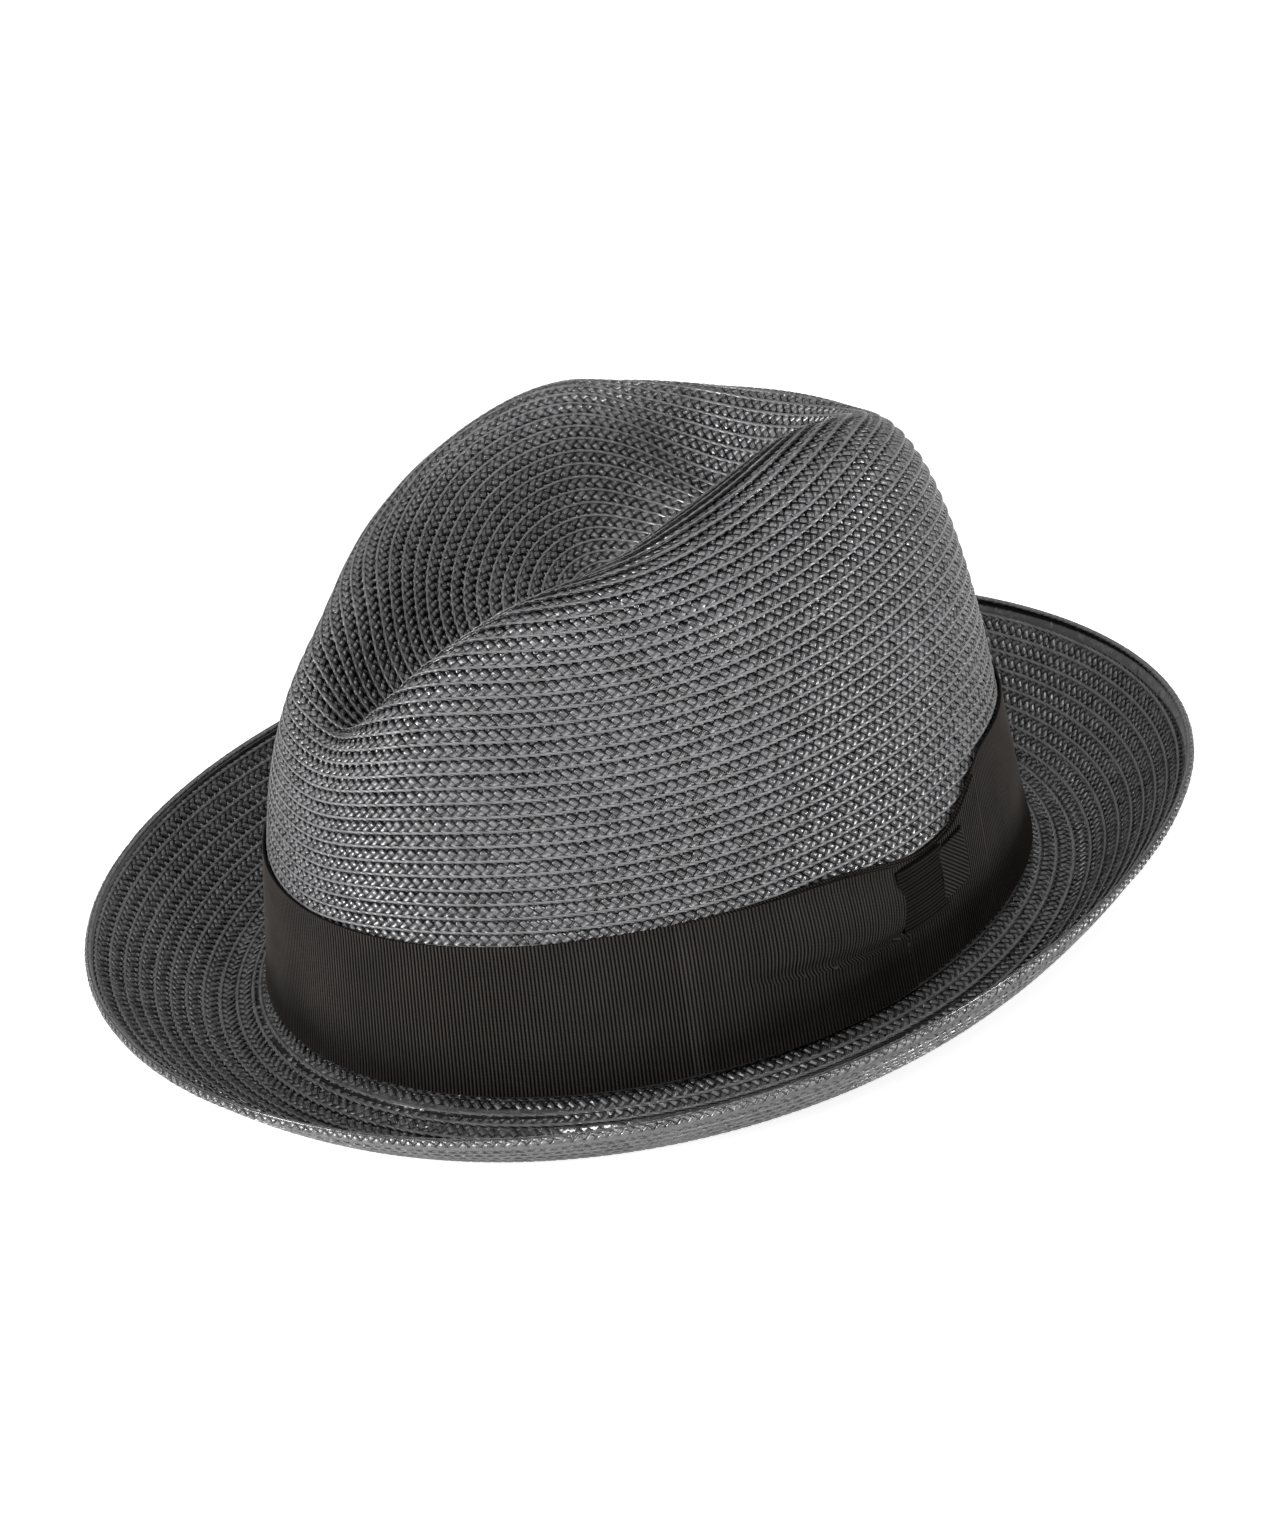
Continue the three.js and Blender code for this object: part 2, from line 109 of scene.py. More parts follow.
def crown_points(angle, fall):
    """Points on the outside of the crown: fall 0 is the tip and a quarter turn is the break line."""
    sine, cosine = np.sin(angle), np.cos(angle)
    outwards = np.sin(fall) ** (2 / DOME_SQUARENESS)
    upwards = np.maximum(np.cos(fall), 0) ** (2 / DOME_SQUARENESS)
    lean = upwards ** LEAN_POWER
    end_lean = LEAN_SIDE + (np.where(cosine > 0, LEAN_FRONT, LEAN_BACK) - LEAN_SIDE) * cosine ** 2
    narrowing = 1 - FRONT_NARROWING * cosine * upwards
    x = outwards * sine * (HALF_WIDTH - LEAN_SIDE * lean) * narrowing
    y = -outwards * cosine * (HALF_LENGTH - end_lean * lean) - TIP_FORWARD * (1 - outwards)
    z = (DOME_HEIGHT + BACKWARD_RISE * (y / 100) + END_RISE * (y / 100) ** 2) * upwards
    z = z - dent_depth(x, y) * smooth((z - DENT_FADE_LOW) / (DENT_FADE_HIGH - DENT_FADE_LOW))
    x = x + pinch_depth(-1, x, y, z) - pinch_depth(1, x, y, z)
    return np.stack([x, y, z + BREAK_HEIGHT], -1)


def outward(angle):
    away = np.stack([np.sin(angle) / HALF_WIDTH, -np.cos(angle) / HALF_LENGTH, 0 * angle], -1)
    return away / np.linalg.norm(away, axis=-1, keepdims=True)


def waves_round(angle, shares):
    return sum(share * np.cos(times * angle) for times, share in enumerate(shares, 1))


def brim_reach(angle):
    return BRIM_REACH + waves_round(angle, REACH_WAVES)


def brim_points(angle, share):
    """Points on the top of the brim: share 0 is the break line and 1 the lip."""
    lip = BRIM_CURL + waves_round(angle, LIP_WAVES)
    dip = np.clip(1 - share / BRIM_DIP_AT, 0, 1) ** 2
    rise = np.clip((share - BRIM_DIP_AT) / (1 - BRIM_DIP_AT), 0, 2) ** BRIM_RISE_POWER
    height = BREAK_HEIGHT - BRIM_DIP * (1 - dip) + (lip + BRIM_DIP) * rise
    foot = np.stack([HALF_WIDTH * np.sin(angle), -HALF_LENGTH * np.cos(angle), 0 * angle], -1)
    point = foot + outward(angle) * (brim_reach(angle) * share)[..., None]
    point[..., 2] = height
    return point


def even_steps(lines, steps):
    """Spaces each line's points evenly along it."""
    pieces = np.linalg.norm(np.diff(lines, axis=1), axis=2)
    lengths = np.concatenate([np.zeros((len(lines), 1)), np.cumsum(pieces, axis=1)], axis=1)
    even = np.empty((len(lines), steps + 1, 3))
    for index, (line, length) in enumerate(zip(lines, lengths)):
        wanted = np.linspace(0, length[-1], steps + 1)
        for axis in range(3):
            even[index, :, axis] = np.interp(wanted, length, line[:, axis])
    return even


class Surface:
    """A surface around the hat that a point and its normal can be read from by angle and turn."""

    def __init__(self, grid, per_turn, inside_out=False):
        self.grid = grid
        self.inside_out = inside_out
        self.per_turn = per_turn
        around = np.roll(grid, -1, axis=0) - np.roll(grid, 1, axis=0)
        down = np.gradient(grid, axis=1)
        normal = np.cross(down, around)
        normal *= -1 if inside_out else 1
        normal /= np.linalg.norm(normal, axis=-1, keepdims=True) + 1e-12
        if np.ptp(grid[:, 0, 0]) < 1e-6:
            normal[:, 0] = normal[:, 1].mean(0)
        self.normal = normal

    def at(self, angle, turn):
        column = (angle / TURN * len(self.grid)) % len(self.grid)
        row = np.clip(turn * self.per_turn, 0, self.grid.shape[1] - 1.001)
        left, top = column.astype(int), row.astype(int)
        right, share_x, share_y = (left + 1) % len(self.grid), column - left, row - top
        places = []
        for table in (self.grid, self.normal):
            upper = table[left, top] * (1 - share_x)[:, None] + table[right, top] * share_x[:, None]
            lower = table[left, top + 1] * (1 - share_x)[:, None] + table[right, top + 1] * share_x[:, None]
            places.append(upper * (1 - share_y)[:, None] + lower * share_y[:, None])
        point, normal = places
        return point, normal / np.linalg.norm(normal, axis=1, keepdims=True)


ring_angles = np.arange(ANGLES) * TURN / ANGLES
falls = np.linspace(0, math.pi / 2, 500)
crown_lines = crown_points(ring_angles[:, None], falls[None, :])
below_break = crown_lines[:, -1:] - (0, 0, WALL_BELOW_BREAK)
crown_lines = np.concatenate([crown_lines, below_break], axis=1)
crown_surface = Surface(even_steps(crown_lines, CROWN_TURNS * FINE), FINE)
around, across = np.meshgrid(ring_angles, np.linspace(0, 1, 200), indexing="ij")
brim_surface = Surface(even_steps(brim_points(around, across), BRIM_TURNS * FINE), FINE)


def under_brim():
    """The underside, from the lip in to the break line."""
    below = brim_surface.grid - brim_surface.normal * BRIM_DEPTH
    below[..., 2] = np.maximum(below[..., 2], UNDERSIDE_LOW)
    return Surface(even_steps(below[:, ::-1], BRIM_TURNS * FINE), FINE)


def lip_turn():
    """The strip that one turn of plait covers as it folds over the lip, from below to above."""
    edge, normal = brim_surface.grid[:, -1], brim_surface.normal[:, -1]
    outwards = edge - brim_surface.grid[:, -2]
    outwards /= np.linalg.norm(outwards, axis=1, keepdims=True)
    middle = edge - normal * (BRIM_DEPTH / 2) - outwards * LIP_INSET
    lines = []
    for inwards, up in LIP_SECTION:
        lines.append(middle - outwards * inwards + normal * up)
    return Surface(even_steps(np.stack(lines, 1), FINE * 2), FINE * 2, True)


def wall_table():
    """Turn of the crown's plait at each millimetre of height above the break line, by angle."""
    heights = np.arange(0, WALL_HEIGHT + 1)
    turns = np.arange(crown_surface.grid.shape[1]) / FINE
    rows = []
    for line in crown_surface.grid[:, :, 2] - BREAK_HEIGHT:
        start = len(line) - TURNS_UP_WALL * FINE
        rows.append(np.interp(heights, line[start:][::-1], turns[start:][::-1]))
    return np.array(rows)


def wall(angle, height, out):
    """Points beside the crown's wall, a distance out from it at a height above the break line."""
    column = (angle / TURN * ANGLES) % ANGLES
    row = np.clip(height, 0, WALL_HEIGHT - 0.1)
    left, top = column.astype(int), row.astype(int)
    right, share_x, share_y = (left + 1) % ANGLES, column - left, row - top
    upper = WALL_TURNS[left, top] * (1 - share_x) + WALL_TURNS[right, top] * share_x
    lower = WALL_TURNS[left, top + 1] * (1 - share_x) + WALL_TURNS[right, top + 1] * share_x
    point, normal = crown_surface.at(angle, upper * (1 - share_y) + lower * share_y)
    point[:, 2] += height - row
    return point + normal * np.asarray(out)[..., None]


under_surface = under_brim()
lip_surface = lip_turn()
WALL_TURNS = wall_table()

# ---------------------------------------------------------------- the plait

# One cell of the plait is drawn flat: along the plait in cells, across it in turns (0 is the lower
# edge, which laps over the next turn) and up in millimetres. Its lap is how far across its backing
# reaches, its tilt how much lower it lies a turn further across, its ply how deep the backing goes
# and its puff how full its strands are and how strong the painted shade between them is. A lined plait has
# strands on its inner side too.
SINK = -0.12
CROWN_PLY = {"lap": 1.3, "tilt": 0.95, "ply": 0.7, "lined": True, "puff": 1.0}
BRIM_PLY = {"lap": 1.16, "tilt": 0.5, "ply": 0.45, "lined": False, "puff": 0.5}
UNDER_PLY = {"lap": 1.16, "tilt": 0.5, "ply": 0.45, "lined": False, "puff": 1.0}
LIP_PLY = {"lap": 1.0, "tilt": 0.2, "ply": 0.5, "lined": False, "puff": 1.0}
PAD_STATIONS, PAD_WIDTHS = (-1.23, -0.72, 0.72, 1.23), (-0.9, 0, 0.9)
PAD_FALL, PAD_ROUNDING, PAD_DEPTH = 0.62, 0.07, 0.22
SELVEDGE_PATH = ((-0.35, 0.19, -0.02), (0.2, 0.125, 0.2), (0.8, 0.09, 0.2), (1.35, 0.03, -0.08))
SELVEDGE_SECTION = ((-1, -0.14), (-0.6, 0.1), (0.5, 0.13), (1, -0.14))
SELVEDGE_HALF = 0.105
# Places of three parts in the list that a cell is made from
LOWER_STRAND, SELVEDGE, BACKING = 1, 3, 4
LOOSE_ALONG, LOOSE_ACROSS, LOOSE_UP = 0.025, 0.014, 0.03
TUCK_UNDER_RIBBON, TUCK_AT_LIP = 0.9, 0.4
# A painted highlight lightens the turned-back edges, and painted shade darkens strand ends, sides and the
# backing where they lie between or under other strands
SELVEDGE_PAINTED_HIGHLIGHT, PAINTED_SHADE_STRENGTH = 0.4, 1.3
CELLS_BEFORE_FIBRES_REPEAT = 97
MOST_TRIANGLES = 190000


def strand_pad(middle, half, slant, rise, side=1):
    """The stretch of one flat strand that shows between two others and dives under them at both ends."""
    points, marks, painted_shade = [], [], []
    for p in PAD_STATIONS:
        for q in PAD_WIDTHS:
            along = middle[0] + half[0] * (p + q) / 2
            across = middle[1] + slant * half[1] * (p - q) / 2
            height = rise * (1 - PAD_FALL * p * p) - PAD_ROUNDING * q * q
            points.append((along, across, side * height))
            marks.append((p, q))
            # Painted shade: full at the ends, where the strand dives under its neighbours, and a little at
            # its sides
            painted_shade.append(1 if abs(p) > 1 else 0.35 * abs(q))
    faces = []
    for row in range(3):
        for column in range(2):
            a = row * 3 + column
            faces += [(a, a + 1, a + 4), (a, a + 4, a + 3)]
    points.append((middle[0], middle[1], side * -PAD_DEPTH))
    marks.append((0, 0))
    painted_shade.append(1)
    rim = [0, 1, 2, 5, 8, 11, 10, 9, 6, 3]
    faces += [(rim[(i + 1) % 10], rim[i], 12) for i in range(10)]
    if slant * side < 0:
        faces = [face[::-1] for face in faces]
    return points, faces, marks, painted_shade


def small_pad(middle, half, rise, side=1):
    """A strand on the plait's inner side, or one that lies mostly under the next turn."""
    points = [(middle[0] - half[0], middle[1], -0.1 * side), (middle[0], middle[1] - half[1], 0),
              (middle[0] + half[0], middle[1], -0.1 * side), (middle[0], middle[1] + half[1], 0),
              (middle[0], middle[1], rise * side), (middle[0], middle[1], -0.25 * side)]
    faces = [(0, 1, 4), (1, 2, 4), (2, 3, 4), (3, 0, 4), (1, 0, 5), (2, 1, 5), (3, 2, 5), (0, 3, 5)]
    if side < 0:
        faces = [face[::-1] for face in faces]
    marks = [(-1, 0), (0, -1), (1, 0), (0, 1), (0, 0), (0, 0)]
    # Painted shade everywhere but the strand's crown
    return points, faces, marks, [1, 1, 1, 1, 0.2, 1]


def edge_fold():
    """A strand turned back along the plait's edge: it starts under the last one and ends on the next."""
    points, faces, marks, painted_shade = [], [], [], []
    for along, across, height in SELVEDGE_PATH:
        for q, up in SELVEDGE_SECTION:
            points.append((along, across + SELVEDGE_HALF * q, height + up))
            marks.append((along * 2 - 1, q))
            # Painted shade along the fold's two edges
            painted_shade.append(0.9 if abs(q) == 1 else 0)
    for step in range(3):
        for side in range(4):
            a, b = step * 4 + side, step * 4 + (side + 1) % 4
            faces += [(a, a + 4, b + 4), (a, b + 4, b)]
    faces += [(0, 1, 2), (0, 2, 3), (12, 14, 13), (12, 15, 14)]
    return points, faces, marks, painted_shade


def backing(lap, ply):
    """The flat middle of the plait, which closes it behind the strands."""
    section = [(0.06, -0.16), (0.5, -0.2), (lap, -0.2), (lap, -ply), (0.5, -ply), (0.02, -ply + 0.2)]
    points = [(station, across, height) for station in (0, 1) for across, height in section]
    marks = [(station * 2 - 1, across) for station in (0, 1) for across, height in section]
    faces = []
    count = len(section)
    for side in range(count):
        a, b = side, (side + 1) % count
        faces += [(a, a + count, b + count), (a, b + count, b)]
    # The backing is painted fully shaded, as it lies between and under the strands
    return points, faces, marks, [1] * len(points)


def plait_cell(lap, tilt, ply, lined, puff):
    """All of one cell: points, triangles, strand coordinates, which strand each point is on and how
    much painted shade it gets where it lies between or under its neighbours."""
    parts = [
        (strand_pad((0.5, 0.64), (0.5, 0.345), -1, 0.36 * puff), 0),
        (strand_pad((0.0, 0.31), (0.5, 0.34), 1, 0.24 * puff), 0),
        (small_pad((0.0, 0.985), (0.5, 0.35), 0.3 * puff), 0),
        (edge_fold(), 0),
        (backing(lap, ply), 0),
    ]
    if lined:
        parts.append((small_pad((0.5, 0.64), (0.5, 0.36), 0.25, -1), -ply + 0.05))
        parts.append((small_pad((0.0, 0.31), (0.5, 0.36), 0.25, -1), -ply + 0.05))
    points, faces, marks, owners, painted_shade = [], [], [], [], []
    for owner, ((part_points, part_faces, part_marks, part_painted_shade), drop) in enumerate(parts):
        start = len(points)
        points += [(x, y, z + drop) for x, y, z in part_points]
        marks += part_marks
        painted_shade += part_painted_shade
        owners += [owner] * len(part_points)
        faces += [tuple(start + corner for corner in face) for face in part_faces]
    points = np.array(points)
    points[:, 2] += SINK - tilt * points[:, 1]
    owners = np.array(owners)
    # Painted shade, weaker on the lower strand and in a less full plait
    painted_shade = np.array(painted_shade) * puff * np.where(owners == LOWER_STRAND, 0.7, 1)
    return points, np.array(faces), np.array(marks), owners, painted_shade


def lay_plait(surface, first_turn, last_turn, low_turn, high_turn, phase):
    """Where each cell of a spiral plait starts, counted in turns from the middle of the spiral."""
    steps = int((last_turn - first_turn) * ANGLES) + 1
    wound = np.linspace(first_turn, last_turn, steps)
    edge = np.clip(wound, low_turn, high_turn)
    middle, _ = surface.at(wound * TURN + phase, np.maximum(edge - 0.5, 0.05))
    lengths = np.concatenate([[0], np.cumsum(np.linalg.norm(np.diff(middle, axis=0), axis=1))])
    count = int(lengths[-1] / CELL)
    return np.interp(np.linspace(0, lengths[-1], count + 1), lengths, wound)


def plait_mesh(name, surface, starts, low_turn, high_turn, phase, seed, cell):
    """Wraps a run of cells on a surface and makes it one mesh."""
    cell_points, cell_faces, cell_marks, owners, painted_shade = cell
    rng = np.random.default_rng(seed)
    cells, count = len(starts) - 1, len(cell_points)
    wander = rng.normal(0, 1, (cells, owners.max() + 1, 3))[:, owners]
    loose = np.where(np.isin(owners, (SELVEDGE, BACKING)), 0, 1)[None, :]
    along = cell_points[None, :, 0] + LOOSE_ALONG * loose * wander[..., 0]
    across = cell_points[None, :, 1] + LOOSE_ACROSS * loose * wander[..., 1]
    height = cell_points[None, :, 2] + LOOSE_UP * loose * wander[..., 2]
    index = np.arange(cells)[:, None] + along
    held = np.clip(index, 0, cells)
    wound = np.interp(held.ravel(), np.arange(cells + 1), starts).reshape(held.shape)
    wound += (index - held) * np.median(np.diff(starts))
    edge = np.clip(wound, low_turn, high_turn)
    tucked = 0 if high_turn == 1 else np.clip(low_turn + 1 - wound, 0, 1) + np.clip(wound - high_turn, 0, 1)
    height = height - (TUCK_UNDER_RIBBON if low_turn == 0 else TUCK_AT_LIP) * tucked
    point, normal = surface.at((wound * TURN + phase).ravel(), (edge - across).ravel())
    place = (point + normal * height.ravel()[:, None]) * MM + OPENING
    faces = (cell_faces[None] + (np.arange(cells) * count)[:, None, None]).reshape(-1, 3)
    if surface.inside_out:
        faces = faces[:, ::-1]
    shade = rng.random((cells, owners.max() + 1))
    # A painted highlight on the turned-back edges
    shade[:, SELVEDGE] += SELVEDGE_PAINTED_HIGHLIGHT
    # Painted shade where strands lie between or under others
    shade = shade[:, owners] - PAINTED_SHADE_STRENGTH * painted_shade[None]
    marks = np.broadcast_to(cell_marks[None], (cells, count, 2)).copy()
    marks[..., 1] += 2.5 * owners[None]
    marks[..., 0] += 3.0 * (np.arange(cells) % CELLS_BEFORE_FIBRES_REPEAT)[:, None]
    return triangle_mesh(name, place, faces, marks.reshape(-1, 2), shade.ravel())


def triangle_mesh(name, place, faces, marks, shade):
    mesh = bpy.data.meshes.new(name)
    mesh.vertices.add(len(place))
    mesh.vertices.foreach_set("co", place.astype(np.float32).ravel())
    mesh.loops.add(len(faces) * 3)
    mesh.loops.foreach_set("vertex_index", faces.astype(np.int32).ravel())
    mesh.polygons.add(len(faces))
    mesh.polygons.foreach_set("loop_start", np.arange(0, len(faces) * 3, 3, dtype=np.int32))
    uv = mesh.uv_layers.new(name="strand")
    uv.data.foreach_set("uv", marks[faces.ravel()].astype(np.float32).ravel())
    tone_and_painted_light = mesh.attributes.new("tone_and_painted_light", "FLOAT", "POINT")
    tone_and_painted_light.data.foreach_set("value", shade.astype(np.float32))
    mesh.update()
    piece = bpy.data.objects.new(name, mesh)
    bpy.context.scene.collection.objects.link(piece)
    return piece


def sewn_plait(name, surface, first_turn, turns, low_turn, phase_degrees, seed, ply, finish_turn=0.98):
    """A plait sewn in a spiral, cut into pieces small enough to handle."""
    phase = math.radians(phase_degrees)
    cell = plait_cell(**ply)
    starts = lay_plait(surface, first_turn, turns + finish_turn, low_turn, turns, phase)
    cells = len(starts) - 1
    parts = math.ceil(cells * len(cell[1]) / MOST_TRIANGLES)
    pieces = []
    for part in range(parts):
        first, last = cells * part // parts, cells * (part + 1) // parts
        run = starts[first:last + 1]
        piece_name = f"{name}_{part + 1}"
        pieces.append(plait_mesh(piece_name, surface, run, low_turn, turns, phase, seed + part, cell))
    return pieces


def lip_plait():
    """The last turn of plait, folded over the lip with its own edge on top."""
    phase = math.radians(160)
    starts = lay_plait(lip_surface, 0, 1, 1, 1, phase)
    starts[-1] = 1
    return plait_mesh("brim_lip_plait", lip_surface, starts + 2, 1, 1, phase, 71, plait_cell(**LIP_PLY))


# ---------------------------------------------------------------- ribbons

# Places round the hat are degrees from the front, and heights and distances out are millimetres from
# the break line and the crown's wall.
RIB, RIB_RISE, RIBBON_THICKNESS = 0.9, 0.32, 0.5
BAND_OUT, GIRTH_HEIGHT = 0.75, 18
BAND_FOOT, FOOT_RISE, FOOT_RISE_FROM, FOOT_RISE_RAMP = 0.8, 2.2, 78, 40
BAND_TOP, TOP_RISE = 37.8, 7.4
BOW_SIDE_RISE_FROM, BOW_SIDE_RISE_RAMP = 103, 15
FAR_SIDE_RISE_FROM, FAR_SIDE_RISE_RAMP = 60, 90
BOW_PULL, BOW_PULL_AT, BOW_PULL_REACH = 5.2, 98, 11
FLARE, FLARE_AT, FLARE_REACH = 0.9, 124, 22
SELVEDGE_RISE, SELVEDGE_WIDTH = 0.15, 0.03
OVERLAP_FROM, OVERLAP_TO, OVERLAP_OUT, OVERLAP_PRESSED = 73, 112, 0.85, 0.35
LOOP_FROM, LOOP_FOLD, LOOP_FOLD_LENGTH, LOOP_FOLD_IN = 60.6, 0.09, 4.4, 0.8
LOOP_LIFT, LOOP_PUFF, LOOP_DROOP, MOUTH_PRESSED = 0.95, 1.5, 0.7, 0.4
CREASE_HEIGHT, CREASE_FALL, CREASE_DRAG, KNOT_DRAG = 20.5, 4.5, 1.1, 2.0
KNOT_FROM, KNOT_TO, KNOT_FOOT, KNOT_TALL, KNOT_OUT, KNOT_RIBS = 91.0, 100.2, 16.2, 15.8, 2.5, 17
REAR_LOOP_FROM, REAR_LOOP_TO, REAR_LOOP_OUT = KNOT_TO - 0.8, 106.6, 2.3
REAR_LOOP_LOW, REAR_LOOP_HIGH = (18.4, 1.2), (31.2, 1.6)
TACKED_AT, TACKING_STITCHES, STITCH_OUT, STITCH_RADIUS = 91.6, 9, 1.4, 0.2
STITCH_FOOT, STITCH_PITCH, STITCH_LENGTH = 1.6, 1.75, 1.1


def bump(value, middle, width):
    return np.exp(-((value - middle) / width) ** 2)


def rib_wave(length):
    return RIB_RISE * np.abs(np.sin(math.pi * length / RIB))


def band_low(degrees):
    away = np.abs((degrees + 180) % 360 - 180)
    return BAND_FOOT + FOOT_RISE * smooth((away - FOOT_RISE_FROM) / FOOT_RISE_RAMP)


def band_high(degrees):
    turned = (degrees + 180) % 360 - 180
    bow_side = smooth((turned - BOW_SIDE_RISE_FROM) / BOW_SIDE_RISE_RAMP)
    far_side = smooth((-turned - FAR_SIDE_RISE_FROM) / FAR_SIDE_RISE_RAMP)
    pull = bump(turned, BOW_PULL_AT, BOW_PULL_REACH) * (turned > 0)
    return BAND_TOP + TOP_RISE * np.where(turned > 0, bow_side, far_side) - BOW_PULL * pull


def girth():
    """Length round the outside of the band, and the angle at each point of that length."""
    angle = np.linspace(0, TURN, 1441)
    line = wall(angle, 0 * angle + GIRTH_HEIGHT, 0 * angle + BAND_OUT)
    lengths = np.concatenate([[0], np.cumsum(np.linalg.norm(np.diff(line, axis=0), axis=1))])
    return lengths, angle


GIRTH, GIRTH_ANGLES = girth()


def angle_at(length):
    laps = np.floor(length / GIRTH[-1])
    return np.interp(length - laps * GIRTH[-1], GIRTH, GIRTH_ANGLES) + laps * TURN


def length_at(degrees):
    laps, rest = divmod(degrees, 360)
    return laps * GIRTH[-1] + float(np.interp(math.radians(rest), GIRTH_ANGLES, GIRTH))


def ribbon_sheet(name, columns, rows, shape, thickness=RIBBON_THICKNESS, closed=False):
    """Cuts a flat grid, lays it with shape(along 0-1, up 0-1) -> millimetres, and gives it a thickness."""
    bpy.ops.object.select_all(action="DESELECT")
    bpy.ops.mesh.primitive_grid_add(x_subdivisions=columns, y_subdivisions=rows, size=1, calc_uvs=True)
    piece = bpy.context.object
    piece.name = name
    mesh = piece.data
    flat = np.empty(len(mesh.vertices) * 3)
    mesh.vertices.foreach_get("co", flat)
    flat = flat.reshape(-1, 3) + 0.5
    place, cloth, wave = shape(flat[:, 0], flat[:, 1])
    # How high each point stands on its rib: the ribbon's finish paints the grooves between ribs dark as
    # shade
    ribs = mesh.attributes.new("rib", "FLOAT", "POINT")
    ribs.data.foreach_set("value", np.minimum(wave / RIB_RISE, 1).astype(np.float32))
    mesh.vertices.foreach_set("co", (place * MM + OPENING).astype(np.float32).ravel())
    corners = np.empty(len(mesh.loops), np.int32)
    mesh.loops.foreach_get("vertex_index", corners)
    mesh.uv_layers[0].name = "cloth"
    mesh.uv_layers[0].data.foreach_set("uv", cloth[corners].astype(np.float32).ravel())
    if closed:
        bpy.ops.object.mode_set(mode="EDIT")
        bpy.ops.mesh.select_all(action="SELECT")
        bpy.ops.mesh.remove_doubles(threshold=0.00002)
        bpy.ops.object.mode_set(mode="OBJECT")
    wall_modifier = piece.modifiers.new("thickness", "SOLIDIFY")
    wall_modifier.thickness = thickness * MM
    wall_modifier.offset = -1
    bpy.ops.object.modifier_apply(modifier=wall_modifier.name)
    bpy.ops.object.shade_smooth_by_angle(angle=math.radians(60))
    return piece


def make_band():
    ribs = round(GIRTH[-1] / RIB)
    whole = ribs * RIB

    def shape(along, up):
        length = along * GIRTH[-1]
        angle = angle_at(np.minimum(length, GIRTH[-1] - 1e-6))
        angle = np.where(along > 0.99999, 0, angle)
        degrees = np.degrees(angle)
        low, high = band_low(degrees), band_high(degrees)
        height = low + (high - low) * up
        flare = FLARE * bump(degrees, FLARE_AT, FLARE_REACH) * (1 - up) ** 2
        wave = rib_wave(along * whole)
        selvedges = SELVEDGE_RISE * (bump(up, 0, SELVEDGE_WIDTH) + bump(up, 1, SELVEDGE_WIDTH))
        place = wall(angle, height, BAND_OUT + flare + wave + selvedges)
        return place, np.stack([along * whole, height], -1), wave

    return ribbon_sheet("ribbon_band", ribs * 4, 9, shape, closed=True)


def make_overlap():
    first, last = length_at(OVERLAP_FROM), length_at(OVERLAP_TO)

    def shape(along, up):
        length = first + (last - first) * along
        angle = angle_at(length)
        degrees = np.degrees(angle)
        low, high = band_low(degrees) + 0.1, band_high(degrees) - 0.4
        height = low + (high - low) * up
        wave = rib_wave(length)
        pressed = OVERLAP_PRESSED * (1 - smooth(along * 6))
        place = wall(angle, height, BAND_OUT + OVERLAP_OUT + wave - pressed)
        return place, np.stack([length, height], -1), wave

    return ribbon_sheet("ribbon_overlap", round((last - first) / RIB) * 4, 9, shape)


def make_front_loop():
    """A loop of the full ribbon width whose upper half is drawn into the knot, with a crease along it."""
    first, last = length_at(LOOP_FROM), length_at(KNOT_FROM + 1.2)

    def shape(along, up):
        reach = np.where(along < LOOP_FOLD, 0, (along - LOOP_FOLD) / (1 - LOOP_FOLD))
        length = first + (last - first) * reach
        degrees = np.degrees(angle_at(length))
        low, high = band_low(degrees) + 0.2, band_high(degrees) - 0.1 - 0.8 * reach ** 3
        crease = CREASE_HEIGHT - CREASE_FALL * smooth(reach * 1.05)
        height = low + (high - low) * up
        above = np.clip((height - crease) / (high - crease), 0, 1)
        below = np.clip((crease - height) / (crease - low), 0, 1)
        depth = smooth((reach - 0.06) / 0.5)
        puff = np.where(height > crease, LOOP_PUFF * np.sin(math.pi * np.minimum(above * 0.9 + 0.2, 1)), 0)
        puff = np.where(height > crease, puff * smooth(above * 6), 0) * depth
        droop = -LOOP_DROOP * depth * smooth(below * 5) * (1 - 0.7 * below)
        mouth = -MOUTH_PRESSED * smooth((reach - 0.86) / 0.14) * (above > 0)
        drag = -CREASE_DRAG * depth * bump(height, crease + 1.5, 3.2) * (height > crease - 1)
        drag += -KNOT_DRAG * smooth((reach - 0.55) / 0.45) * (1 - above) * (above > 0)
        turned = np.where(along < LOOP_FOLD, 1 - along / LOOP_FOLD, 0)
        length = length - LOOP_FOLD_LENGTH * turned
        wave = rib_wave(length)
        base = BAND_OUT + OVERLAP_OUT + LOOP_LIFT * smooth(reach * 2)
        out = base + puff + droop + mouth + wave - LOOP_FOLD_IN * turned ** 3
        length = length + drag * smooth(reach / 0.06)
        place = wall(angle_at(length), height, out)
        return place, np.stack([length, height], -1), wave

    return ribbon_sheet("bow_front_loop_cloth", round((last - first) / RIB) * 4, 40, shape)


def make_rear_loop():
    first, last = length_at(REAR_LOOP_FROM), length_at(REAR_LOOP_TO)

    def shape(along, up):
        length = first + (last - first) * along
        low = REAR_LOOP_LOW[0] + REAR_LOOP_LOW[1] * along
        high = REAR_LOOP_HIGH[0] + REAR_LOOP_HIGH[1] * along
        height = low + (high - low) * up
        wave = RIB_RISE * np.abs(np.sin(math.pi * (length * 0.8 + height) / (RIB * 1.25)))
        turned = smooth((along - 0.75) / 0.25)
        out = BAND_OUT + REAR_LOOP_OUT + 0.5 * np.sin(math.pi * up) - 1.6 * turned ** 2 + wave
        return wall(angle_at(length), height, out), np.stack([height, length], -1), wave

    return ribbon_sheet("bow_rear_loop_cloth", 60, 60, shape)


